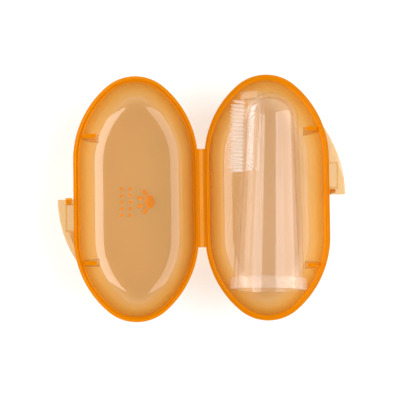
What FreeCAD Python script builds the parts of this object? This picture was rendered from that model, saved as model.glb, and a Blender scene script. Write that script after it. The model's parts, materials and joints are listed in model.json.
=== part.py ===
import FreeCAD, Part
import math
import os

from FreeCAD import Vector

# A silicone finger toothbrush lying in its hinged oval case, which is open flat.
# Millimetres. The origin is on the table under the hinge line: X runs across the two halves,
# with the base half at +X, Y runs along the hinge and the brush, and Z is up.

os.makedirs("parts", exist_ok=True)

# ---- Driving dimensions: case ----
HALF_LENGTH = 34.5          # centre of a half to its rounded tip, along Y
HALF_WIDTH = 17.5           # centre of a half to its straight side, along X
STRAIGHT_HALF = 10.9        # half the length of the straight side
TIP_RADIUS = 12.3           # plan radius of each tip
SHELL_HEIGHT = 14.0         # underside to rim
WALL = 1.3
SIDE_ARC = 23.0             # section: radius of the side wall, upright at the rim
CORNER_ARC = 8.0            # section: radius between the side wall and the flat floor
HINGE_WIDTH = 1.8           # gap between the halves, which the flexing strip crosses

# Lip and rebate: the base's lip stands inside the lid's outer rim
LIP_HEIGHT = 0.7
LIP_THICKNESS = 0.55
REBATE_DEPTH = 0.8
LIP_CLEARANCE = 0.1

# Hinge strip: a deep leaf on each half, which meet along the crease at the top
HINGE_HALF_LENGTH = 13.8
HINGE_DEPTH = 3.2
CREASE_HALF_GAP = 0.05
CREASE_FLARE = 0.3          # each leaf leans away from the crease by this much at its underside

# Ribs on the outer walls; the lid's ribs lie beside the base's when shut
RIB_THICKNESS = 1.1
RIB_FLARE = 0.8             # how much wider each side of a rib is at the floor than at the rim
LID_RIB_Y = 17.85
BASE_RIB_Y = 19.15
RIB_INNER_X = 29.4
RIB_RISE = 0.8              # height above the rim
RIB_RISE_INSET = 2.1        # the part above the rim stands this far in from the outline

# Pull tabs: plates on the outer walls, with one end flat and one edge curved
TAB_REACH_X = 40.4
TAB_TOP = 13.2
TAB_THICKNESS = 0.9
TAB_EDGE_ROUND = 0.3
TRAY_DROP = 1.2             # the pocket's floor is a tray this far below the tab
TRAY_WALL = 0.4
TAB_APEX_INSET = 1.3        # the curved edge ends this far inside the case's greatest width
TAB_ROOT = 1.0              # how far parts on the wall start inside it, before they are trimmed
BASE_TAB_FLAT_Y = 0.55
BASE_TAB_APEX_Y = 19.6
BASE_POCKET = (2.2, 2.6, 9.3)       # width from the wall, then the Y range
LID_TAB_FLAT_Y = -0.05              # the lid's tab is given turned half round, as if at +X
LID_TAB_APEX_Y = 18.2
LID_POCKET = (2.0, 1.6, 8.6)

# Latch
HOOK_NOSE_GAP = 0.12        # hook nose to the base tab's flat end when shut
HOOK_RISE = 2.0             # hook's top above the rim
HOOK_REACH = (0.3, 2.1)     # from the wall
HOOK_TAIL_Y = 1.4
BLOCK_REACH = 1.8
BLOCK_Y = (1.1, 2.1)
BLOCK_DEPTH = 4.0           # below the tab
GUSSET_REACH = 0.7
GUSSET_Y = 0.65
WEB_REACH = (1.5, -0.3)     # at the pocket's end, and at the far end
WEB_Y = (9.1, 14.0)
WEB_DEPTH = 3.0

# ---- Driving dimensions: brush ----
BRUSH_TILT = 4.6            # degrees; the domed end lies lower, because the sleeve tapers
BRUSH_LEAN = 1.6            # degrees in plan, domed end towards +X
BRUSH_OPEN_END = Vector(18.4, -26.05, 13.35)
SLEEVE_LENGTH = 56.15
SLEEVE_OPEN_RADIUS = 10.15
SLEEVE_DOME_RADIUS = 7.95
SLEEVE_WALL = 1.25
COLLAR_RADIUS = 10.85
COLLAR_LENGTH = 3.5
COLLAR_ROUND = 0.7

# Bristle head: a pad on the sleeve's upper flank, angles measured from straight up towards -X
PAD_START = 32.6            # along the sleeve from its open end
PAD_END = 54.0
PAD_RADIUS_START = 9.35
PAD_RADIUS_END = 9.05
PAD_ANGLES = (19.0, 84.0)
PAD_CHORD = 3.9             # the pad's flat back passes this far from the sleeve's axis
STOP_START = 52.6           # a smooth wall at the pad's domed end
STOP_END = 54.6
STOP_RADIUS = 11.7
STOP_ANGLES = (20.5, 49.0)
BRISTLE_TIP_RADIUS = 12.1   # sleeve axis to bristle tips
BRISTLE_ROOT_R = 0.31
BRISTLE_TOP_R = 0.2
BRISTLE_PITCH = 1.07
BRISTLE_ROWS = 19
BRISTLE_FIRST_ROW = 33.0
BRISTLE_CROWN = 0.5         # bristles in the end rows are this much shorter
BRISTLE_ROOT_DEPTH = 0.42   # how far the cones start below the pad's skin, before they are trimmed
# Two groups of bristles stand in a V: a to c lean out to the side and d to f lean up.
# Each column's root angle, its tip angle at the first row, its tip angle at the last,
# and the rows left out at the domed end
BRISTLE_COLUMNS = {
    "bristle_column_a": (66.5, 77.0, 74.5, 1),
    "bristle_column_b": (62.5, 70.5, 69.0, 0),
    "bristle_column_c": (58.5, 64.0, 63.5, 0),
    "bristle_column_d": (43.0, 34.0, 26.5, 4),
    "bristle_column_e": (39.5, 30.5, 24.0, 2),
    "bristle_column_f": (36.0, 27.5, 22.0, 2),
}

# ---- Driving dimensions: printed mark ----
PRINT_THICKNESS = 0.1
PAW_CENTRE = (-14.9, -0.4)
PAW_PAD = (2.0, 1.45)       # half-axes of the main pad
PAW_TOE = (0.95, 0.62)      # half-axes of a toe
PAW_TOE_REACH = 3.0
PAW_TOE_ANGLES = (118.0, 157.0, 203.0, 242.0)
DOT_RADIUS = 0.5
DOT_ROWS_X = (-23.0, -20.6)
DOT_PITCH = 1.9
DOTS_PER_ROW = 5

# ---- Derived ----
TIP_CENTRE_Y = HALF_LENGTH - TIP_RADIUS
_rise = TIP_CENTRE_Y - STRAIGHT_HALF
FLANK_RADIUS = (HALF_WIDTH**2 + _rise**2 - TIP_RADIUS**2) / (2 * (HALF_WIDTH - TIP_RADIUS))
FLANK_CENTRE_X = HALF_WIDTH - FLANK_RADIUS
JOIN_ANGLE = math.degrees(math.atan2(_rise, -FLANK_CENTRE_X))
CENTRE_X = HINGE_WIDTH / 2 + HALF_WIDTH
OUTER_X = CENTRE_X + HALF_WIDTH
FLOOR_INSET = SIDE_ARC - math.sqrt(
    (SIDE_ARC - CORNER_ARC) ** 2 - (SHELL_HEIGHT - CORNER_ARC) ** 2
)
LIP_INSET = WALL - LIP_THICKNESS
REBATE_INSET = LIP_INSET - LIP_CLEARANCE
UP = Vector(0, 0, 1)


def export(name, shape):
    """Writes one node."""
    shape.exportStep("parts/%s.step" % name)


def box(x0, x1, y0, y1, z0, z1):
    """A box between two corners."""
    return Part.makeBox(x1 - x0, y1 - y0, z1 - z0, Vector(x0, y0, z0))


def plan_arc(centre, radius, start, end):
    """An arc in the XY plane between two angles in degrees."""
    def at(angle):
        a = math.radians(angle)
        return Vector(centre[0] + radius * math.cos(a), centre[1] + radius * math.sin(a), 0)
    return Part.Arc(at(start), at((start + end) / 2), at(end)).toShape()


def outline_arcs():
    """The outline's arcs, anticlockwise: centre, radius, start and end angle."""
    join = JOIN_ANGLE
    flank, tip, side = FLANK_RADIUS, TIP_RADIUS, STRAIGHT_HALF
    return [
        ((FLANK_CENTRE_X, side), flank, 0, join),
        ((0, TIP_CENTRE_Y), tip, join, 180 - join),
        ((-FLANK_CENTRE_X, side), flank, 180 - join, 180),
        ((-FLANK_CENTRE_X, -side), flank, 180, 180 + join),
        ((0, -TIP_CENTRE_Y), tip, 180 + join, 360 - join),
        ((FLANK_CENTRE_X, -side), flank, 360 - join, 360),
    ]


def outline_face(inset):
    """The outline's face at Z = 0, moved in by inset."""
    x = HALF_WIDTH - inset
    arcs = [plan_arc(c, r - inset, a0, a1) for c, r, a0, a1 in outline_arcs()]
    right = Part.makeLine(Vector(x, -STRAIGHT_HALF, 0), Vector(x, STRAIGHT_HALF, 0))
    left = Part.makeLine(Vector(-x, STRAIGHT_HALF, 0), Vector(-x, -STRAIGHT_HALF, 0))
    return Part.Face(Part.Wire([right] + arcs[:3] + [left] + arcs[3:]))


def prism(inset, z0, z1):
    """The outline moved in by inset and raised from z0 to z1."""
    face = outline_face(inset)
    face.translate(Vector(0, 0, z0))
    return face.extrude(Vector(0, 0, z1 - z0))


def bowl_section(inset, top):
    """Half section of a filled bowl: X is minus the distance in from the outline."""
    side_r, corner_r = SIDE_ARC - inset, CORNER_ARC - inset
    turn = math.asin((SHELL_HEIGHT - CORNER_ARC) / (SIDE_ARC - CORNER_ARC))

    def on_arc(centre_x, centre_z, radius, angle):
        return Vector(-centre_x + radius * math.cos(angle), 0, centre_z - radius * math.sin(angle))
    rim = Vector(-inset, 0, SHELL_HEIGHT)
    join = on_arc(SIDE_ARC, SHELL_HEIGHT, side_r, turn)
    side_mid = on_arc(SIDE_ARC, SHELL_HEIGHT, side_r, turn / 2)
    corner_mid = on_arc(FLOOR_INSET, CORNER_ARC, corner_r, (turn + math.pi / 2) / 2)
    floor = Vector(-FLOOR_INSET, 0, inset)
    inner_top = Vector(-FLOOR_INSET, 0, top)
    edges = [
        Part.Arc(rim, side_mid, join).toShape(),
        Part.Arc(join, corner_mid, floor).toShape(),
        Part.makeLine(floor, inner_top),
    ]
    if top > SHELL_HEIGHT:
        rim_top = Vector(-inset, 0, top)
        edges += [Part.makeLine(inner_top, rim_top), Part.makeLine(rim_top, rim)]
    else:
        edges.append(Part.makeLine(inner_top, rim))
    return Part.Face(Part.Wire(edges))


def bowl(inset, top):
    """A filled bowl whose skin lies inset inside the case's outer skin."""
    section = bowl_section(inset, top)
    pieces = []
    for turn in (0, 180):
        side = section.copy()
        side.translate(Vector(HALF_WIDTH, -STRAIGHT_HALF, 0))
        side = side.extrude(Vector(0, 2 * STRAIGHT_HALF, 0))
        side.rotate(Vector(), UP, turn)
        pieces.append(side)
    for centre, radius, start, end in outline_arcs():
        piece = section.copy()
        piece.translate(Vector(radius, 0, 0))
        piece.rotate(Vector(), UP, start)
        place = Vector(centre[0], centre[1], 0)
        piece.translate(place)
        pieces.append(piece.revolve(place, UP, end - start))
    middle = prism(FLOOR_INSET, inset, top)
    return middle.fuse(pieces).removeSplitter()


def moved(shape, x):
    """A copy moved along X."""
    copy = shape.copy()
    copy.translate(Vector(x, 0, 0))
    return copy


OUTER_BOWL = bowl(0, SHELL_HEIGHT)
CAVITY = bowl(WALL, SHELL_HEIGHT + 1)
BASE_OUTER, LID_OUTER = moved(OUTER_BOWL, CENTRE_X), moved(OUTER_BOWL, -CENTRE_X)


def shells():
    """Both shells, the base's lip and the lid's outer rim."""
    shell = OUTER_BOWL.cut(CAVITY)
    export("base_shell", moved(shell, CENTRE_X))
    rim = SHELL_HEIGHT
    lip = prism(LIP_INSET, rim, rim + LIP_HEIGHT).cut(prism(WALL, rim - 1, rim + 1))
    export("base_locating_lip", moved(lip, CENTRE_X))
    shoulder = rim - REBATE_DEPTH
    above = box(-HALF_WIDTH - 1, HALF_WIDTH + 1, -HALF_LENGTH - 1, HALF_LENGTH + 1, shoulder, rim + 1)
    export("lid_shell", moved(shell.cut(above), -CENTRE_X))
    outer_rim = shell.common(above).cut(prism(REBATE_INSET, shoulder - 1, rim + 1))
    export("lid_outer_rim", moved(outer_rim, -CENTRE_X))


def hinge():
    """The flexing strip as two leaves, which meet at the crease over X = 0."""
    top, bottom = SHELL_HEIGHT, SHELL_HEIGHT - HINGE_DEPTH
    reach = HINGE_WIDTH / 2 + WALL / 2
    y = -HINGE_HALF_LENGTH
    corners = [Vector(CREASE_HALF_GAP, y, top), Vector(reach, y, top), Vector(reach, y, bottom),
               Vector(CREASE_HALF_GAP + CREASE_FLARE, y, bottom), Vector(CREASE_HALF_GAP, y, top)]
    leaf = Part.Face(Part.makePolygon(corners)).extrude(Vector(0, 2 * HINGE_HALF_LENGTH, 0))
    export("hinge_leaf_base", leaf.cut(BASE_OUTER))
    export("hinge_leaf_lid", leaf.mirror(Vector(), Vector(1, 0, 0)).cut(LID_OUTER))


def rib(centre_y):
    """One rib of the base at +X: fills the corner of the cavity and rises above the rim."""
    half = RIB_THICKNESS / 2
    x, ledge = RIB_INNER_X - CENTRE_X, SHELL_HEIGHT - LIP_HEIGHT
    slab = box(x, HALF_WIDTH, centre_y - half, centre_y + half, 0, SHELL_HEIGHT + RIB_RISE)
    foot = [Vector(x, centre_y + y, z) for y, z in ((-half, ledge), (half, ledge),
                                                    (half + RIB_FLARE, 0), (-half - RIB_FLARE, 0),
                                                    (-half, ledge))]
    foot = Part.Face(Part.makePolygon(foot)).extrude(Vector(HALF_WIDTH - x, 0, 0))
    low = foot.common(CAVITY)
    high = slab.common(prism(RIB_RISE_INSET, ledge, SHELL_HEIGHT + RIB_RISE))
    return low.fuse(high).removeSplitter()


def ribs():
    """Two ribs in each half."""
    for name, sign in (("upper", 1), ("lower", -1)):
        export("base_rib_" + name, moved(rib(sign * BASE_RIB_Y), CENTRE_X))
        lid_rib = rib(sign * LID_RIB_Y).mirror(Vector(), Vector(1, 0, 0))
        export("lid_rib_" + name, moved(lid_rib, -CENTRE_X))


def tab(flat_y, apex_y, pocket):
    """A thin pull tab at +X, its curved edge running towards +Y, with a tray sunk in it."""
    apex = Vector(OUTER_X - TAB_APEX_INSET, apex_y, 0)
    corner = Vector(TAB_REACH_X, flat_y, 0)
    run, drop = apex_y - flat_y, TAB_REACH_X - apex.x
    radius = (drop**2 + run**2) / (2 * drop)
    half = math.asin(run / radius) / 2
    middle = Vector(TAB_REACH_X - radius * (1 - math.cos(half)), flat_y + radius * math.sin(half), 0)
    inner_x = OUTER_X - 2 * TAB_APEX_INSET
    edges = [
        Part.Arc(corner, middle, apex).toShape(),
        Part.makeLine(apex, Vector(inner_x, apex_y, 0)),
        Part.makeLine(Vector(inner_x, apex_y, 0), Vector(inner_x, flat_y, 0)),
        Part.makeLine(Vector(inner_x, flat_y, 0), corner),
    ]
    face = Part.Face(Part.Wire(edges))
    face.translate(Vector(0, 0, TAB_TOP - TAB_THICKNESS))
    plate = face.extrude(Vector(0, 0, TAB_THICKNESS))
    outer = [e for e in plate.Edges
             if e.Curve.TypeId == "Part::GeomCircle" and e.CenterOfMass.z > TAB_TOP - 0.01]
    plate = plate.makeFillet(TAB_EDGE_ROUND, outer)
    width, low_y, high_y = pocket
    root = OUTER_X - TAB_ROOT
    tray = box(root, OUTER_X + width + TRAY_WALL, low_y - TRAY_WALL, high_y + TRAY_WALL,
               TAB_TOP - TRAY_DROP - TAB_THICKNESS, TAB_TOP - TAB_THICKNESS / 2)
    recess = box(root, OUTER_X + width, low_y, high_y, TAB_TOP - TRAY_DROP, TAB_TOP + 1)
    return plate.fuse(tray).cut(recess).cut(BASE_OUTER)


def turned(shape):
    """The base's +X side turned half round, which gives the lid's -X side."""
    copy = shape.copy()
    copy.rotate(Vector(), UP, 180)
    return copy


def tabs_and_latch():
    """Both pull tabs, the lid's hook and the base's latch block."""
    root, under_tab = OUTER_X - TAB_ROOT, TAB_TOP - TAB_THICKNESS
    export("base_pull_tab", tab(BASE_TAB_FLAT_Y, BASE_TAB_APEX_Y, BASE_POCKET))
    low = under_tab - BLOCK_DEPTH
    block = box(root, OUTER_X + BLOCK_REACH, BLOCK_Y[0], BLOCK_Y[1], low, under_tab)
    export("base_latch_block", block.cut(BASE_OUTER))
    gusset = box(root, OUTER_X + GUSSET_REACH, GUSSET_Y, BLOCK_Y[0], low, under_tab)
    export("base_tab_gusset", gusset.cut(BASE_OUTER))
    export("lid_pull_tab", turned(tab(LID_TAB_FLAT_Y, LID_TAB_APEX_Y, LID_POCKET)))
    nose_y = HOOK_NOSE_GAP - BASE_TAB_FLAT_Y
    hook = box(OUTER_X + HOOK_REACH[0], OUTER_X + HOOK_REACH[1], nose_y, HOOK_TAIL_Y,
               TAB_TOP, SHELL_HEIGHT + HOOK_RISE)
    export("lid_latch_hook", turned(hook))
    corners = [(root, WEB_Y[0]), (OUTER_X + WEB_REACH[0], WEB_Y[0]),
               (OUTER_X + WEB_REACH[1], WEB_Y[1]), (root, WEB_Y[1]), (root, WEB_Y[0])]
    web = Part.Face(Part.makePolygon([Vector(x, y, under_tab) for x, y in corners]))
    export("lid_tab_web", turned(web.extrude(Vector(0, 0, -WEB_DEPTH)).cut(BASE_OUTER)))


def printed_mark():
    """A paw print and two rows of dots on the lid's floor, turned a quarter turn."""
    def spot(centre, half_axes, angle):
        ellipse = Part.Ellipse(Vector(), half_axes[0], half_axes[1]).toShape()
        disc = Part.Face(Part.Wire([ellipse]))
        disc.rotate(Vector(), UP, angle)
        disc.translate(Vector(centre[0], centre[1], WALL))
        return disc.extrude(Vector(0, 0, PRINT_THICKNESS))
    spots = [spot(PAW_CENTRE, PAW_PAD, 90)]
    for angle in PAW_TOE_ANGLES:
        a = math.radians(angle)
        toe = (PAW_CENTRE[0] + PAW_TOE_REACH * math.cos(a), PAW_CENTRE[1] + PAW_TOE_REACH * math.sin(a))
        spots.append(spot(toe, PAW_TOE, angle))
    for x in DOT_ROWS_X:
        for i in range(DOTS_PER_ROW):
            y = PAW_CENTRE[1] + (i - (DOTS_PER_ROW - 1) / 2) * DOT_PITCH
            spots.append(Part.makeCylinder(DOT_RADIUS, PRINT_THICKNESS, Vector(x, y, WALL)))
    export("lid_print", Part.makeCompound(spots))


# ---- Brush, made along +Y from its open end at the origin ----

def sleeve_solid(inset):
    """The filled sleeve, its skin moved in by inset: a cone with a round dome."""
    end = SLEEVE_LENGTH - SLEEVE_DOME_RADIUS
    dome = SLEEVE_DOME_RADIUS - inset
    taper = math.atan2(SLEEVE_OPEN_RADIUS - SLEEVE_DOME_RADIUS, end)

    def on_dome(angle):
        return Vector(dome * math.cos(angle), end + dome * math.sin(angle), 0)
    meet = on_dome(taper)
    open_radius = SLEEVE_OPEN_RADIUS - inset
    edges = [
        Part.makeLine(Vector(0, 0, 0), Vector(open_radius, 0, 0)),
        Part.makeLine(Vector(open_radius, 0, 0), meet),
        Part.Arc(meet, on_dome((taper + math.pi / 2) / 2), on_dome(math.pi / 2)).toShape(),
        Part.makeLine(on_dome(math.pi / 2), Vector(0, 0, 0)),
    ]
    return Part.Face(Part.Wire(edges)).revolve(Vector(), Vector(0, 1, 0), 360)


def collar(outer):
    """The band round the open end, with rounded edges."""
    band = Part.makeCylinder(COLLAR_RADIUS, COLLAR_LENGTH, Vector(), Vector(0, 1, 0))
    rims = [e for e in band.Edges if e.Curve.TypeId == "Part::GeomCircle"]
    return band.makeFillet(COLLAR_ROUND, rims).cut(outer)


def flank_direction(angle):
    """Unit vector from the sleeve's axis, angle in degrees from straight up towards -X."""
    a = math.radians(angle)
    return Vector(-math.sin(a), 0, math.cos(a))


def sector(solid, angles, start, end, reach):
    """The part of a turned solid between two flank angles and two stations along the axis."""
    low, high = [flank_direction(a) for a in angles]
    wedge = Part.Face(Part.makePolygon([Vector(), low * reach, (low + high) * reach, high * reach,
                                        Vector()]))
    wedge.translate(Vector(0, start, 0))
    return solid.common(wedge.extrude(Vector(0, end - start, 0)))


def pad(outer):
    """A tapered sector on the sleeve's flank, cut off flat behind, with a smooth end wall."""
    reach = 2 * STOP_RADIUS
    cone = Part.makeCone(PAD_RADIUS_START, PAD_RADIUS_END, PAD_END - PAD_START,
                         Vector(0, PAD_START, 0), Vector(0, 1, 0))
    stop = Part.makeCylinder(STOP_RADIUS, STOP_END - STOP_START, Vector(0, STOP_START, 0),
                             Vector(0, 1, 0))
    block = sector(cone, PAD_ANGLES, PAD_START, PAD_END, reach)
    block = block.fuse(sector(stop, STOP_ANGLES, STOP_START, STOP_END, reach)).removeSplitter()
    out = flank_direction(sum(PAD_ANGLES) / 2)
    back = Part.makeBox(2 * reach, 2 * SLEEVE_LENGTH, PAD_CHORD + reach)
    back.translate(Vector(-reach, 0, -reach))
    back.rotate(Vector(), Vector(0, 1, 0), -math.degrees(math.atan2(-out.x, out.z)))
    return block.cut(back).cut(outer)


def bristle_column(root_angle, first_angle, last_angle, rows, half_row):
    """One column of tapered bristles, from the pad's skin to their tips."""
    bristles = []
    for row in range(rows):
        along = BRISTLE_FIRST_ROW + (row + half_row) * BRISTLE_PITCH
        tip_angle = first_angle + (last_angle - first_angle) * row / (BRISTLE_ROWS - 1)
        crown = BRISTLE_CROWN if row in (0, rows - 1) else 0
        share = (along - PAD_START) / (PAD_END - PAD_START)
        skin = PAD_RADIUS_START + (PAD_RADIUS_END - PAD_RADIUS_START) * share
        root = flank_direction(root_angle) * (skin - BRISTLE_ROOT_DEPTH)
        out = flank_direction(tip_angle) * (BRISTLE_TIP_RADIUS - crown) - root
        bristles.append(Part.makeCone(BRISTLE_ROOT_R, BRISTLE_TOP_R, out.Length,
                                      root + Vector(0, along, 0), out))
    return Part.makeCompound(bristles)


def place_brush(shape):
    """Lays a brush shape in the base half."""
    copy = shape.copy()
    copy.rotate(Vector(), Vector(1, 0, 0), -BRUSH_TILT)
    copy.rotate(Vector(), UP, -BRUSH_LEAN)
    copy.translate(BRUSH_OPEN_END)
    return copy


def brush():
    """Sleeve, collar, pad and bristles."""
    outer = sleeve_solid(0)
    pad_solid = pad(outer)
    export("brush_sleeve", place_brush(outer.cut(sleeve_solid(SLEEVE_WALL))))
    export("brush_collar", place_brush(collar(outer)))
    export("bristle_pad", place_brush(pad_solid))
    for index, (name, (root, first, last, left_out)) in enumerate(BRISTLE_COLUMNS.items()):
        column = bristle_column(root, first, last, BRISTLE_ROWS - left_out, 0.5 * (index % 2))
        export(name, place_brush(column.cut(pad_solid)))


shells()
hinge()
ribs()
tabs_and_latch()
printed_mark()
brush()
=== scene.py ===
import json
import math
import random

import bmesh
import bpy
import numpy as np
from mathutils import Matrix, Vector

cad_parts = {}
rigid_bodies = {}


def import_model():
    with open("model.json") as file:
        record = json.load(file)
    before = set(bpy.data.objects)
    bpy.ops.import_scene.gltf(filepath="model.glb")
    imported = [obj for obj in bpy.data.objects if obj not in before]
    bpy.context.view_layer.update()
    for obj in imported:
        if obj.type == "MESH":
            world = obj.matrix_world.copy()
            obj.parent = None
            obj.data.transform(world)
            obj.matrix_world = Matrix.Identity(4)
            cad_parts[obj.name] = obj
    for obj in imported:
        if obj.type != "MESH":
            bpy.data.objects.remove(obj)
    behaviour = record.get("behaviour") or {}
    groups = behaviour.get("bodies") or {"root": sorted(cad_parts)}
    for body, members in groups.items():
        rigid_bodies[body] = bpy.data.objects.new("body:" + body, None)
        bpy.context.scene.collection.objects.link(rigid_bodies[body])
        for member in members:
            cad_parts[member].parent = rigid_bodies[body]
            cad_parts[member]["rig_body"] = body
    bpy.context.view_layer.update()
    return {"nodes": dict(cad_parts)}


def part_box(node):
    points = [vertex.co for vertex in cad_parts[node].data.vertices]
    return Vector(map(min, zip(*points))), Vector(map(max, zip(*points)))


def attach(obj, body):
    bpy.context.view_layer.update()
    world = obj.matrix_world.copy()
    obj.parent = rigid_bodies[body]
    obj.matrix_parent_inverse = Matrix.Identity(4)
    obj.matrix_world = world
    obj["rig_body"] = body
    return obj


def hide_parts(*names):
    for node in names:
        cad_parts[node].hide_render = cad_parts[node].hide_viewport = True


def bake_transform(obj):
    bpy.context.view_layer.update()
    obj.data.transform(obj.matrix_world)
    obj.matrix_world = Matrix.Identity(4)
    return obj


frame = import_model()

# The looks of a finger toothbrush in its hinged oval case, laid over the CAD frame.
# Metres. X = 0 is the hinge line, the base half and the brush lie at +X, and Z is up.

MM = 0.001

# ---- Sizes read from the frame ----
BASE_LOW, BASE_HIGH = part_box("base_shell")
HALF_WIDTH = (BASE_HIGH.x - BASE_LOW.x) / 2
HALF_LENGTH = (BASE_HIGH.y - BASE_LOW.y) / 2
CENTRE_X = (BASE_HIGH.x + BASE_LOW.x) / 2
HEIGHT = BASE_HIGH.z
LIP_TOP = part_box("base_locating_lip")[1].z
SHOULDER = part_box("lid_outer_rim")[0].z

# ---- Case shape, as in the CAD ----
STRAIGHT_HALF = 10.9 * MM
TIP_RADIUS = 12.3 * MM
WALL = 1.3 * MM
SIDE_ARC = 23.0 * MM
CORNER_ARC = 8.0 * MM
LIP_INSET = 0.75 * MM
REBATE_INSET = 0.65 * MM
EDGE = 0.18 * MM            # rounding of the shells' rims
FEATURE_EDGE = 0.12 * MM    # rounding of the ribs, tabs, hinge and latch
FLOOR_MARGIN = 1.0 * MM     # between the corner arc and the flat that closes the floor
TIP_CENTRE_Y = HALF_LENGTH - TIP_RADIUS
RISE = TIP_CENTRE_Y - STRAIGHT_HALF
FLANK_RADIUS = (HALF_WIDTH**2 + RISE**2 - TIP_RADIUS**2) / (2 * (HALF_WIDTH - TIP_RADIUS))
FLANK_X = HALF_WIDTH - FLANK_RADIUS
JOIN = math.atan2(RISE, -FLANK_X)
FLOOR_INSET = SIDE_ARC - math.sqrt((SIDE_ARC - CORNER_ARC) ** 2 - (HEIGHT - CORNER_ARC) ** 2)

# ---- Brush, as in the CAD ----
BRUSH_OPEN_END = Vector((18.4, -26.05, 13.35)) * MM
BRUSH_TILT = math.radians(4.6)
BRUSH_LEAN = math.radians(1.6)
SLEEVE_LENGTH = 56.15 * MM
OPEN_RADIUS = 10.15 * MM
DOME_RADIUS = 7.95 * MM
SLEEVE_WALL = 1.25 * MM
COLLAR_RADIUS = 10.85 * MM
COLLAR_LENGTH = 3.5 * MM
COLLAR_GROOVE = (1.5 * MM, 0.16 * MM)   # station and depth
COLLAR_OVERLAP = (0.1 * MM, 0.3 * MM)   # how deep the band sits in the sleeve, at its two ends
COLLAR_ROUND = 0.6 * MM
SEAM_ANGLE = -9.0                       # the sleeve's parting line, degrees from straight up
SEAM_RADIUS = 0.1 * MM
PAD_EDGE = 0.3 * MM                     # rounding of the pad
PAD_START, PAD_END = 32.6 * MM, 54.0 * MM
PAD_RADII = (9.35 * MM, 9.05 * MM)
BRISTLE_TIP = 12.1 * MM
BRISTLE_CROWN = 0.5 * MM
BRISTLE_FIRST = 33.0 * MM
BRISTLE_PITCH = 1.07 * MM
BRISTLE_ROWS = 19
BRISTLE_ROOT_R, BRISTLE_TOP_R = 0.31 * MM, 0.2 * MM
BRISTLE_BEND_ALONG = 0.12 * MM          # how far a tip may bend, along the row and across it
BRISTLE_BEND_ACROSS = 0.1 * MM
# CAD node: root angle, tip angle at the first row, at the last, rows left out at the domed end
BRISTLE_COLUMNS = {
    "bristle_column_a": (66.5, 77.0, 74.5, 1),
    "bristle_column_b": (62.5, 70.5, 69.0, 0),
    "bristle_column_c": (58.5, 64.0, 63.5, 0),
    "bristle_column_d": (43.0, 34.0, 26.5, 4),
    "bristle_column_e": (39.5, 30.5, 24.0, 2),
    "bristle_column_f": (36.0, 27.5, 22.0, 2),
}

# ---- Hinge crease ----
CREASE_HALF_WIDTH = 0.5 * MM
CREASE_DEPTH = 0.43 * MM    # below the rim
CREASE_PROUD = 0.03 * MM    # above the rim
CREASE_STEPS = 12           # sections across its width, enough for a smooth bend

# ---- Colours, linear ----
TINT = (0.915, 0.75, 0.35)          # of the plastic as it deepens
DEEP_TINT = (0.99, 0.82, 0.40)      # of the thick features
TINT_DENSITY = 1600.0
RIB_DENSITY = 1000.0
SILICONE_TINT = (1.0, 0.95, 0.88)
SILICONE_DENSITY = 30.0
MILK_SPREAD, MILK_SCALE = 0.03, 90.0
RIM_COLOUR = (0.64, 0.22, 0.0)
RIM_HAZE = 0.94
RIM_FADE = (9.0 * MM, 13.2 * MM)    # heights between which the wall turns into the milky rim
RIM_GLOSS = 0.12                    # share of its gloss that the rim keeps
RIM_PAINTED_GLOW = (0.95, 0.36, 0.0)       # painted glow at the rim, standing in for the light that the plastic pipes there
RIM_PAINTED_GLOW_STRENGTH = 0.22
EDGE_BLEND = 0.35                   # how the clear silicone darkens towards its outline
EDGE_FROM, EDGE_TO = 0.35, 0.95
INK = (0.76, 0.25, 0.01)
INK_SPREAD, INK_SCALE = 0.05, 900.0

# ---- Studio ----
FLOOR_DROP = 0.05 * MM              # the floor lies this far under the case
FLOOR_GREY = 0.46
FLOOR_LIGHT = 0.56                  # own light, as of a pale light table
SKY_ZENITH = 0.12                   # grey overhead, white at the horizon
SKY_RAMP = (0.25, 0.75)
LAMP_PLACE = Vector((0.60, 0.0, 0.40))
LAMP_DEPTH = 0.9

# ---- Camera ----
# The view is from nearly straight above, a little towards -Y.
VIEW_TARGET = Vector((-0.45, -0.56, 14.0)) * MM
VIEW_DISTANCE = 0.45
VIEW_WIDTH = 0.112          # what the frame spans at the target
VIEW_ELEVATION = math.radians(87.8)
VIEW_ROLL = math.radians(-0.74)


# ---------------------------------------------------------------- mesh helpers

def make_object(name, vertices, faces, smooth_angle=35.0):
    """A mesh object with smooth shading across edges flatter than smooth_angle degrees."""
    mesh = bpy.data.meshes.new(name)
    mesh.from_pydata([tuple(v) for v in vertices], [], faces)
    mesh.validate()
    work = bmesh.new()
    work.from_mesh(mesh)
    bmesh.ops.remove_doubles(work, verts=work.verts, dist=1e-7)
    bmesh.ops.recalc_face_normals(work, faces=work.faces)
    limit = math.radians(smooth_angle)
    for face in work.faces:
        face.smooth = True
    for edge in work.edges:
        if len(edge.link_faces) == 2 and edge.calc_face_angle() > limit:
            edge.smooth = False
    work.to_mesh(mesh)
    work.free()
    obj = bpy.data.objects.new(name, mesh)
    bpy.context.scene.collection.objects.link(obj)
    return obj


def grid_faces(rows, columns, close_rows, close_columns, offset=0):
    """Quads of a grid of vertices stored row by row."""
    faces = []
    for i in range(rows if close_rows else rows - 1):
        for j in range(columns if close_columns else columns - 1):
            a, b = i * columns + j, i * columns + (j + 1) % columns
            c, d = ((i + 1) % rows) * columns + (j + 1) % columns, ((i + 1) % rows) * columns + j
            faces.append((a + offset, b + offset, c + offset, d + offset))
    return faces


def arc_points(centre, radius, start, end, count):
    """Points on an arc in the section plane, angles in radians, both ends included."""
    return [(centre[0] + radius * math.cos(start + (end - start) * i / count),
             centre[1] + radius * math.sin(start + (end - start) * i / count))
            for i in range(count + 1)]


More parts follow.
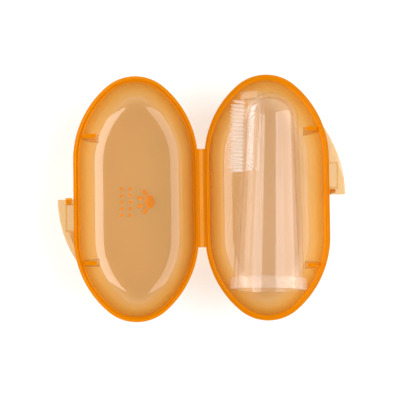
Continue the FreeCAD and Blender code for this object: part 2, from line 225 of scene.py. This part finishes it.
def refined(node, name, width, segments=3):
    """A copy of a CAD node's mesh with its sharp edges rounded, which replaces the node."""
    source = frame["nodes"][node].data
    work = bmesh.new()
    work.from_mesh(source)
    bmesh.ops.remove_doubles(work, verts=work.verts, dist=2e-6)
    bmesh.ops.dissolve_limit(work, angle_limit=math.radians(1.0), verts=work.verts, edges=work.edges)
    mesh = bpy.data.meshes.new(name)
    work.to_mesh(mesh)
    work.free()
    obj = bpy.data.objects.new(name, mesh)
    bpy.context.scene.collection.objects.link(obj)
    bevel = obj.modifiers.new("round_edges", "BEVEL")
    bevel.width = width
    bevel.segments = segments
    bevel.limit_method = "ANGLE"
    bevel.angle_limit = math.radians(40)
    bevel.harden_normals = True
    mesh.shade_smooth()
    body = frame["nodes"][node]["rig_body"]
    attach(obj, body)
    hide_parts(node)
    return obj


# ---------------------------------------------------------------- case

def outline():
    """Points and outward normals round one half's outline, in its own centre's frame."""
    arcs = [
        ((FLANK_X, STRAIGHT_HALF), FLANK_RADIUS, 0, JOIN, 20),
        ((0, TIP_CENTRE_Y), TIP_RADIUS, JOIN, math.pi - JOIN, 30),
        ((-FLANK_X, STRAIGHT_HALF), FLANK_RADIUS, math.pi - JOIN, math.pi, 20),
        ((-FLANK_X, -STRAIGHT_HALF), FLANK_RADIUS, math.pi, math.pi + JOIN, 20),
        ((0, -TIP_CENTRE_Y), TIP_RADIUS, math.pi + JOIN, 2 * math.pi - JOIN, 30),
        ((FLANK_X, -STRAIGHT_HALF), FLANK_RADIUS, 2 * math.pi - JOIN, 2 * math.pi, 20),
    ]
    straight_steps = 16
    points, normals = [], []
    for centre, radius, start, end, count in arcs:
        for i in range(count):
            angle = start + (end - start) * i / count
            normals.append((math.cos(angle), math.sin(angle)))
            points.append((centre[0] + radius * normals[-1][0], centre[1] + radius * normals[-1][1]))
        turn = end / math.pi
        if abs(turn - round(turn)) < 1e-6:
            side = math.cos(end)
            for i in range(straight_steps):
                normals.append((side, 0))
                y = -side * (1 - 2 * i / straight_steps) * STRAIGHT_HALF
                points.append((side * HALF_WIDTH, y))
    return np.array(points), np.array(normals)


def bowl_curve(inset, steps_side=16, steps_corner=10):
    """Section of the skin at an inset, from the floor's edge up to the rim: (inset, height)."""
    turn = math.asin((HEIGHT - CORNER_ARC) / (SIDE_ARC - CORNER_ARC))
    corner = arc_points((FLOOR_INSET, CORNER_ARC), CORNER_ARC - inset, -math.pi / 2,
                        -math.pi + turn, steps_corner)
    side = arc_points((SIDE_ARC, HEIGHT), SIDE_ARC - inset, -math.pi + turn, -math.pi, steps_side)
    return corner + side[1:]


def rounded(profile, corners, radius, steps=3):
    """The open profile with a small arc at each listed corner."""
    out = []
    for i, point in enumerate(profile):
        if i not in corners:
            out.append(point)
            continue
        p = Vector(point)
        a = (Vector(profile[i - 1]) - p).normalized() * radius
        b = (Vector(profile[i + 1]) - p).normalized() * radius
        for k in range(steps + 1):
            t = k / steps
            q = (p + a) * (1 - t) ** 2 + p * 2 * t * (1 - t) + (p + b) * t**2
            out.append((q.x, q.y))
    return out


def case_profile(half):
    """The half's whole section, from the outer floor's edge over the rim to the inner floor's."""
    outer = bowl_curve(0)[:-1]
    inner = bowl_curve(WALL)[:-1][::-1]
    if half == "base":
        rim = [(0, HEIGHT), (LIP_INSET, HEIGHT), (LIP_INSET, LIP_TOP), (WALL, LIP_TOP)]
    else:
        rim = [(0, HEIGHT), (REBATE_INSET, HEIGHT), (REBATE_INSET, SHOULDER), (WALL, SHOULDER)]
    path = outer + rim + inner
    first = len(outer)
    return rounded(path, range(first, first + len(rim)), EDGE)


def case_half(half):
    """One dished half of the case with its rim, as one smooth skin."""
    centre = CENTRE_X if half == "base" else -CENTRE_X
    points, normals = outline()
    profile = case_profile(half)
    vertices = []
    for inset, height in profile:
        ring = points - normals * inset
        vertices += [(centre + x, y, height) for x, y in ring]
    count = len(points)
    faces = grid_faces(len(profile), count, False, True)
    for height, row in ((0.0, 0), (WALL, len(profile) - 1)):
        ring = points - normals * (FLOOR_INSET + FLOOR_MARGIN)
        start = len(vertices)
        vertices += [(centre + x, y, height) for x, y in ring]
        for j in range(count):
            k = (j + 1) % count
            faces.append((row * count + j, row * count + k, start + k, start + j))
        faces.append(tuple(range(start, start + count)))
    obj = make_object(half + "_case", vertices, faces)
    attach(obj, half)
    if half == "base":
        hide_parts("base_shell", "base_locating_lip")
    else:
        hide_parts("lid_shell", "lid_outer_rim")
    return obj


def hinge_crease():
    """The thin web between the two hinge leaves, built straight, as it lies with the case open."""
    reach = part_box("hinge_leaf_base")[1].y - EDGE
    top, bottom = HEIGHT + CREASE_PROUD, HEIGHT - CREASE_DEPTH
    sections = []
    for i in range(CREASE_STEPS + 1):
        x = CREASE_HALF_WIDTH * (2 * i / CREASE_STEPS - 1)
        sections += [(x, -reach, top), (x, reach, top), (x, reach, bottom), (x, -reach, bottom)]
    faces = grid_faces(CREASE_STEPS + 1, 4, False, True)
    faces += [tuple(range(4)), tuple(range(len(sections) - 4, len(sections)))]
    obj = make_object("hinge_crease", sections, faces)
    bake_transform(obj)
    return obj


# ---------------------------------------------------------------- brush

def on_brush(point):
    """From the brush's own frame, its axis along +Y from the open end, to the row's."""
    turn = Matrix.Rotation(-BRUSH_LEAN, 4, "Z") @ Matrix.Rotation(-BRUSH_TILT, 4, "X")
    return turn @ Vector(point) + BRUSH_OPEN_END


def lathe(name, profile, segments=128):
    """Turns a closed profile of (radius, along) round the brush's axis."""
    vertices = []
    for i in range(segments):
        a = 2 * math.pi * i / segments
        vertices += [on_brush((r * math.sin(a), y, r * math.cos(a))) for r, y in profile]
    faces = grid_faces(segments, len(profile), True, True)
    return make_object(name, vertices, faces)


def sleeve_curve(inset, steps=14, cone_steps=12):
    """Half section of the sleeve's skin from the open end to the dome's pole: (radius, along)."""
    end = SLEEVE_LENGTH - DOME_RADIUS
    taper = math.atan2(OPEN_RADIUS - DOME_RADIUS, end)
    dome = arc_points((0, end), DOME_RADIUS - inset, taper, math.pi / 2, steps)
    open_radius = OPEN_RADIUS - inset
    cone = [(open_radius + (dome[0][0] - open_radius) * i / cone_steps, dome[0][1] * i / cone_steps)
            for i in range(cone_steps)]
    return cone + dome


def flank(angle):
    """Unit vector out from the brush's axis, angle in degrees from straight up towards -X."""
    a = math.radians(angle)
    return Vector((-math.sin(a), 0, math.cos(a)))


def parting_line():
    """The thin line that the mould leaves along the sleeve."""
    path = [flank(SEAM_ANGLE) * r + Vector((0, y, 0)) for r, y in sleeve_curve(0, 20)[1:-2]]
    side = Vector((math.cos(math.radians(SEAM_ANGLE)), 0, -math.sin(math.radians(SEAM_ANGLE))))
    sides = 8
    vertices = []
    for i, point in enumerate(path):
        ahead = path[min(i + 1, len(path) - 1)] - path[max(i - 1, 0)]
        out = side.cross(ahead).normalized()
        for k in range(sides):
            a = 2 * math.pi * k / sides
            vertices.append(on_brush(point + (side * math.cos(a) + out * math.sin(a)) * SEAM_RADIUS))
    faces = grid_faces(len(path), sides, False, True)
    faces += [tuple(range(sides)), tuple(range(len(vertices) - sides, len(vertices)))]
    obj = make_object("silicone_parting_line", vertices, faces, 80)
    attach(obj, "brush")
    return obj


def bristles(node, root_angle, first_angle, last_angle, left_out, half_row, seed):
    """One column of tapered, round-ended bristles, each bent a little."""
    chance = random.Random(seed)
    sides, rings, cap_rings = 10, 7, 3
    vertices, faces = [], []
    rows = BRISTLE_ROWS - left_out
    for row in range(rows):
        along = BRISTLE_FIRST + (row + half_row) * BRISTLE_PITCH
        tip_angle = first_angle + (last_angle - first_angle) * row / (BRISTLE_ROWS - 1)
        crown = BRISTLE_CROWN if row in (0, rows - 1) else 0
        share = (along - PAD_START) / (PAD_END - PAD_START)
        skin = PAD_RADII[0] + (PAD_RADII[1] - PAD_RADII[0]) * share
        root = flank(root_angle) * (skin - BRISTLE_ROOT_R)
        reach = flank(tip_angle) * (BRISTLE_TIP - crown) - root
        out = reach.normalized()
        across = Vector((out.z, 0, -out.x))
        bend = Vector((0, 1, 0)) * chance.uniform(-BRISTLE_BEND_ALONG, BRISTLE_BEND_ALONG)
        bend += across * chance.uniform(-BRISTLE_BEND_ACROSS, BRISTLE_BEND_ACROSS)
        start = len(vertices)
        for i in range(rings + 1 + cap_rings):
            t = min(i / rings, 1.0)
            cap = max(0, i - rings) / (cap_rings + 1) * math.pi / 2
            radius = (BRISTLE_ROOT_R + (BRISTLE_TOP_R - BRISTLE_ROOT_R) * t) * math.cos(cap)
            height = (reach.length - BRISTLE_TOP_R) * t + BRISTLE_TOP_R * math.sin(cap)
            middle = root + Vector((0, along, 0)) + out * height + bend * t * t
            for k in range(sides):
                a = 2 * math.pi * k / sides
                p = middle + (across * math.cos(a) + Vector((0, 1, 0)) * math.sin(a)) * radius
                vertices.append(on_brush(p))
        faces += grid_faces(rings + 1 + cap_rings, sides, False, True, start)
        faces.append(tuple(range(start, start + sides)))
        last = start + (rings + cap_rings) * sides
        faces.append(tuple(range(last, last + sides)))
    obj = make_object(node.replace("column", "row"), vertices, faces, 80)
    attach(obj, "brush")
    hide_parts(node)
    return obj


def brush():
    """Sleeve, collar, parting line, pad and bristles; the soft pieces and the hairs apart."""
    outer, inner = sleeve_curve(0), sleeve_curve(SLEEVE_WALL)
    sleeve = lathe("silicone_sleeve", outer + inner[::-1])
    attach(sleeve, "brush")
    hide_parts("brush_sleeve")
    groove, depth = COLLAR_GROOVE
    start_overlap, end_overlap = COLLAR_OVERLAP
    band = [(OPEN_RADIUS - start_overlap, start_overlap), (COLLAR_RADIUS, 0),
            (COLLAR_RADIUS, groove - depth), (COLLAR_RADIUS - depth, groove),
            (COLLAR_RADIUS, groove + depth), (COLLAR_RADIUS, COLLAR_LENGTH),
            (OPEN_RADIUS - end_overlap, COLLAR_LENGTH)]
    collar = lathe("silicone_collar", rounded(band, (1, 5), COLLAR_ROUND, 6))
    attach(collar, "brush")
    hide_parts("brush_collar")
    pieces = [sleeve, collar, parting_line(), refined("bristle_pad", "silicone_pad", PAD_EDGE, 4)]
    hairs = []
    for index, (node, column) in enumerate(BRISTLE_COLUMNS.items()):
        hairs.append(bristles(node, *column, 0.5 * (index % 2), index))
    return pieces, hairs


# ---------------------------------------------------------------- materials

def new_material(name):
    """An empty node material and a helper that adds nodes to it."""
    material = bpy.data.materials.new(name)
    material.use_nodes = True
    nodes = material.node_tree.nodes
    nodes.clear()

    def add(kind, **values):
        node = nodes.new(kind)
        for key, value in values.items():
            if key in node.inputs:
                node.inputs[key].default_value = value
            else:
                setattr(node, key, value)
        return node
    return material, add, material.node_tree.links.new


def varied_colour(add, link, colour, spread, scale):
    """A colour that drifts a little with position, as moulded plastic does."""
    where = add("ShaderNodeTexCoord")
    noise = add("ShaderNodeTexNoise", Scale=scale, Detail=3.0)
    link(where.outputs["Object"], noise.inputs["Vector"])
    ramp = add("ShaderNodeValToRGB")
    for element, position, gain in zip(ramp.color_ramp.elements, (0.35, 0.65),
                                       (1 - spread, 1 + spread)):
        element.position = position
        element.color = (*[min(c * gain, 1) for c in colour], 1)
    link(noise.outputs["Fac"], ramp.inputs["Fac"])
    return ramp.outputs["Color"]


def rim_share(add, link):
    """0 below the rim and 1 on it, by height."""
    where = add("ShaderNodeTexCoord")
    split = add("ShaderNodeSeparateXYZ")
    rise = add("ShaderNodeMapRange", interpolation_type="SMOOTHSTEP")
    rise.inputs["From Min"].default_value = RIM_FADE[0]
    rise.inputs["From Max"].default_value = RIM_FADE[1]
    link(where.outputs["Object"], split.inputs[0])
    link(split.outputs["Z"], rise.inputs["Value"])
    return rise.outputs["Result"]


def from_to(add, link, share, low, high):
    """A value that goes from low to high as share goes from 0 to 1."""
    node = add("ShaderNodeMapRange")
    node.inputs["To Min"].default_value = low
    node.inputs["To Max"].default_value = high
    link(share, node.inputs["Value"])
    return node.outputs["Result"]


def product(add, link, socket, factor):
    """socket times factor, which is a number or another socket."""
    node = add("ShaderNodeMath", operation="MULTIPLY")
    link(socket, node.inputs[0])
    if isinstance(factor, float):
        node.inputs[1].default_value = factor
    else:
        link(factor, node.inputs[1])
    return node.outputs[0]


def mixed(add, link, factor, first, second):
    """A mix of two shaders, by a number or a socket."""
    node = add("ShaderNodeMixShader")
    if isinstance(factor, float):
        node.inputs[0].default_value = factor
    else:
        link(factor, node.inputs[0])
    link(first, node.inputs[1])
    link(second, node.inputs[2])
    return node.outputs[0]


def milk(add, link, colour, glow):
    """What scatters in the plastic: part of the light comes back and part, glow, goes through."""
    matt = add("ShaderNodeBsdfDiffuse")
    link(colour, matt.inputs["Color"])
    back = add("ShaderNodeBsdfTranslucent")
    link(colour, back.inputs["Color"])
    return mixed(add, link, glow, matt.outputs[0], back.outputs[0])


def rim_colour(add, link, share, colour):
    """The plastic's colour turning into the rim's."""
    node = add("ShaderNodeMix", data_type="RGBA")
    link(share, node.inputs["Factor"])
    link(colour, node.inputs[6])
    node.inputs[7].default_value = (*RIM_COLOUR, 1)
    return node.outputs[2]


def add_painted_rim_glow(add, link, share, shader):
    """The shader with a painted glow added at the rim, standing in for the light that the plastic
    pipes there.
    """
    # Emission on the plastic itself: a painted glow, not a lamp.
    painted_glow = add("ShaderNodeEmission", Color=(*RIM_PAINTED_GLOW, 1))
    link(product(add, link, share, RIM_PAINTED_GLOW_STRENGTH), painted_glow.inputs["Strength"])
    node = add("ShaderNodeAddShader")
    link(shader, node.inputs[0])
    link(painted_glow.outputs[0], node.inputs[1])
    return node.outputs[0]


def see_through(add, link, edge):
    """What passes straight through, darkened to the colour edge at a glancing angle."""
    node = add("ShaderNodeBsdfTransparent")
    if edge:
        facing = add("ShaderNodeLayerWeight", Blend=EDGE_BLEND)
        ramp = add("ShaderNodeValToRGB")
        for element, position, value in zip(ramp.color_ramp.elements, (EDGE_FROM, EDGE_TO),
                                            ((1, 1, 1), edge)):
            element.position = position
            element.color = (*value, 1)
        link(facing.outputs["Facing"], ramp.inputs["Fac"])
        link(ramp.outputs["Color"], node.inputs["Color"])
    return node.outputs[0]


def clear_plastic(name, colour, haze, glow, tint, density, roughness, ior, rim=False, edge=None):
    """A see-through moulding: a glossy skin, some milkiness, and a tint that deepens with depth.
    haze is the share that scatters. With rim, the top of the wall takes the rim's colour and a
    painted glow that stands in for the light gathering there."""
    material, add, link = new_material(name)
    output = add("ShaderNodeOutputMaterial")
    milk_colour = varied_colour(add, link, colour, MILK_SPREAD, MILK_SCALE)
    shine = add("ShaderNodeFresnel", IOR=ior).outputs[0]
    if rim:
        share = rim_share(add, link)
        scatter = milk(add, link, rim_colour(add, link, share, milk_colour), glow)
        # painted glow at the rim
        scatter = add_painted_rim_glow(add, link, share, scatter)
        haze = from_to(add, link, share, haze, RIM_HAZE)
        shine = product(add, link, shine, from_to(add, link, share, 1.0, RIM_GLOSS))
    else:
        scatter = milk(add, link, milk_colour, glow)
    body = mixed(add, link, haze, see_through(add, link, edge), scatter)
    gloss = add("ShaderNodeBsdfAnisotropic", Roughness=roughness)
    skin = mixed(add, link, shine, body, gloss.outputs[0])
    leaving = add("ShaderNodeNewGeometry").outputs["Backfacing"]
    clear = add("ShaderNodeBsdfTransparent").outputs[0]
    link(mixed(add, link, leaving, skin, clear), output.inputs["Surface"])
    if density:
        depth = add("ShaderNodeVolumeAbsorption", Color=(*tint, 1), Density=density)
        link(depth.outputs[0], output.inputs["Volume"])
    return material


def case_plastic():
    """The orange of both shells, with a painted glow at their rims."""
    return clear_plastic("case_plastic", (0.78, 0.38, 0.09), 0.30, 0.65, TINT, TINT_DENSITY,
                         0.03, 1.68, rim=True)


def thick_plastic():
    """The orange of the latch and the webs, where the moulding is thicker."""
    return clear_plastic("case_plastic_thick", (0.80, 0.38, 0.001), 0.45, 0.6, DEEP_TINT,
                         TINT_DENSITY, 0.06, 1.4)


def hinge_plastic():
    """The deep orange of the hinge leaves."""
    return clear_plastic("hinge_plastic", (0.76, 0.30, 0.0), 0.84, 0.6, DEEP_TINT, TINT_DENSITY,
                         0.15, 1.3)


def crease_plastic_painted_highlight():
    """The paler orange where the hinge is thinnest, also a painted highlight along the hinge's
    middle.
    """
    # The pale colour is partly the thin web's own and partly a painted highlight.
    return clear_plastic("crease_plastic_painted_highlight", (0.93, 0.50, 0.06), 0.8, 0.6, TINT, TINT_DENSITY,
                         0.1, 1.45)


def rib_plastic():
    """The amber of the drafted ribs."""
    return clear_plastic("rib_plastic", (0.84, 0.42, 0.0), 0.7, 0.6, DEEP_TINT, RIB_DENSITY,
                         0.06, 1.3)


def tab_plastic():
    """The pale amber of the thin pull tabs."""
    return clear_plastic("tab_plastic", (0.68, 0.31, 0.06), 0.34, 0.6, TINT, TINT_DENSITY,
                         0.05, 1.6)


def sleeve_silicone():
    """The clear silicone of the sleeve and the pad."""
    return clear_plastic("silicone", (0.98, 0.93, 0.89), 0.07, 0.5, SILICONE_TINT,
                         SILICONE_DENSITY, 0.07, 1.52, edge=(0.80, 0.78, 0.75))


def collar_silicone():
    """The cloudier silicone of the thick collar."""
    return clear_plastic("collar_silicone", (0.95, 0.85, 0.78), 0.17, 0.5, SILICONE_TINT,
                         SILICONE_DENSITY, 0.12, 1.25, edge=(0.85, 0.83, 0.80))


def bristle_silicone():
    """The whitish silicone of the bristles."""
    return clear_plastic("bristle_silicone", (0.99, 0.97, 0.95), 0.55, 0.5, (1, 1, 1), 0.0,
                         0.2, 1.41)


def ink():
    """Printed ink with a faintly uneven cover."""
    material, add, link = new_material("print_ink")
    output = add("ShaderNodeOutputMaterial")
    skin = add("ShaderNodeBsdfPrincipled", Roughness=0.45)
    link(varied_colour(add, link, INK, INK_SPREAD, INK_SCALE), skin.inputs["Base Color"])
    link(skin.outputs[0], output.inputs["Surface"])
    return material


def paint(obj, material):
    """Gives an object one material."""
    obj.data.materials.clear()
    obj.data.materials.append(material)


# ---------------------------------------------------------------- studio

def floor():
    """A plain pale floor with a little light of its own."""
    obj = make_object("floor", [(-1, -1, 0), (1, -1, 0), (1, 1, 0), (-1, 1, 0)], [(0, 1, 2, 3)])
    obj.location.z = -FLOOR_DROP
    material, add, link = new_material("floor")
    output = add("ShaderNodeOutputMaterial")
    skin = add("ShaderNodeBsdfPrincipled", Roughness=0.9)
    skin.inputs["Base Color"].default_value = (FLOOR_GREY, FLOOR_GREY, FLOOR_GREY, 1)
    skin.inputs["Specular IOR Level"].default_value = 0.0
    skin.inputs["Emission Color"].default_value = (1, 1, 1, 1)
    skin.inputs["Emission Strength"].default_value = FLOOR_LIGHT
    link(skin.outputs[0], output.inputs["Surface"])
    paint(obj, material)


def sky():
    """Even studio light, white at the horizon and dimmer overhead."""
    world = bpy.data.worlds.new("studio")
    bpy.context.scene.world = world
    world.use_nodes = True
    nodes, link = world.node_tree.nodes, world.node_tree.links.new
    where = nodes.new("ShaderNodeTexCoord")
    split = nodes.new("ShaderNodeSeparateXYZ")
    ramp = nodes.new("ShaderNodeValToRGB")
    for element, position, grey in zip(ramp.color_ramp.elements, SKY_RAMP, (1, SKY_ZENITH)):
        element.position = position
        element.color = (grey, grey, grey, 1)
    link(where.outputs["Generated"], split.inputs[0])
    link(split.outputs["Z"], ramp.inputs[0])
    link(ramp.outputs[0], nodes["Background"].inputs["Color"])


def softbox(name, side, length, power):
    """A soft lamp to the right (side 1) or the left (side -1), turned to the origin."""
    data = bpy.data.lights.new(name, "AREA")
    data.shape = "RECTANGLE"
    data.size, data.size_y = LAMP_DEPTH, length
    data.energy = power
    lamp = bpy.data.objects.new(name, data)
    bpy.context.scene.collection.objects.link(lamp)
    lamp.visible_camera = False
    lamp.location = (side * LAMP_PLACE.x, LAMP_PLACE.y, LAMP_PLACE.z)
    lamp.rotation_euler = (-lamp.location).to_track_quat("-Z", "Y").to_euler()
    return lamp


def camera():
    """The camera, aimed at the case's middle from almost overhead."""
    data = bpy.data.cameras.new("camera")
    data.sensor_width = 36
    data.lens = data.sensor_width * VIEW_DISTANCE / VIEW_WIDTH
    data.clip_start, data.clip_end = 0.01, 10
    obj = bpy.data.objects.new("camera", data)
    bpy.context.scene.collection.objects.link(obj)
    back = Vector((0, -math.cos(VIEW_ELEVATION), math.sin(VIEW_ELEVATION)))
    obj.location = VIEW_TARGET + back * VIEW_DISTANCE
    turn = back.to_track_quat("Z", "Y").to_matrix().to_4x4() @ Matrix.Rotation(VIEW_ROLL, 4, "Z")
    obj.rotation_euler = turn.to_euler()
    bpy.context.scene.camera = obj


def studio():
    """Floor, light, camera and how the picture is developed."""
    floor()
    sky()
    softbox("softbox_right", 1, 0.95, 10.6)
    softbox("softbox_left", -1, 0.9, 5.6)
    softbox("fill_left", -1, 0.9, 2.0).visible_glossy = False
    camera()
    bpy.context.scene.view_settings.view_transform = "Standard"
    # Up to a dozen clear faces lie behind each other in the brush and the case.
    bpy.context.scene.cycles.transparent_max_bounces = 32


# ---------------------------------------------------------------- build

def mouldings(nodes, material):
    """Bevelled copies of small CAD features, in one material."""
    for node in nodes:
        paint(refined(node, node + "_moulding", FEATURE_EDGE), material)


studio()

orange = case_plastic()
for half in ("base", "lid"):
    paint(case_half(half), orange)
mouldings(("base_latch_block", "base_tab_gusset", "lid_tab_web", "lid_latch_hook"),
          thick_plastic())
mouldings(("base_rib_upper", "base_rib_lower", "lid_rib_upper", "lid_rib_lower"),
          rib_plastic())
mouldings(("hinge_leaf_base", "hinge_leaf_lid"), hinge_plastic())
paint(hinge_crease(), crease_plastic_painted_highlight())
mouldings(("base_pull_tab", "lid_pull_tab"), tab_plastic())

soft, hairs = brush()
clear, cloudy = sleeve_silicone(), collar_silicone()
for piece in soft:
    paint(piece, cloudy if piece.name == "silicone_collar" else clear)
hair = bristle_silicone()
for piece in hairs:
    paint(piece, hair)
paint(frame["nodes"]["lid_print"], ink())
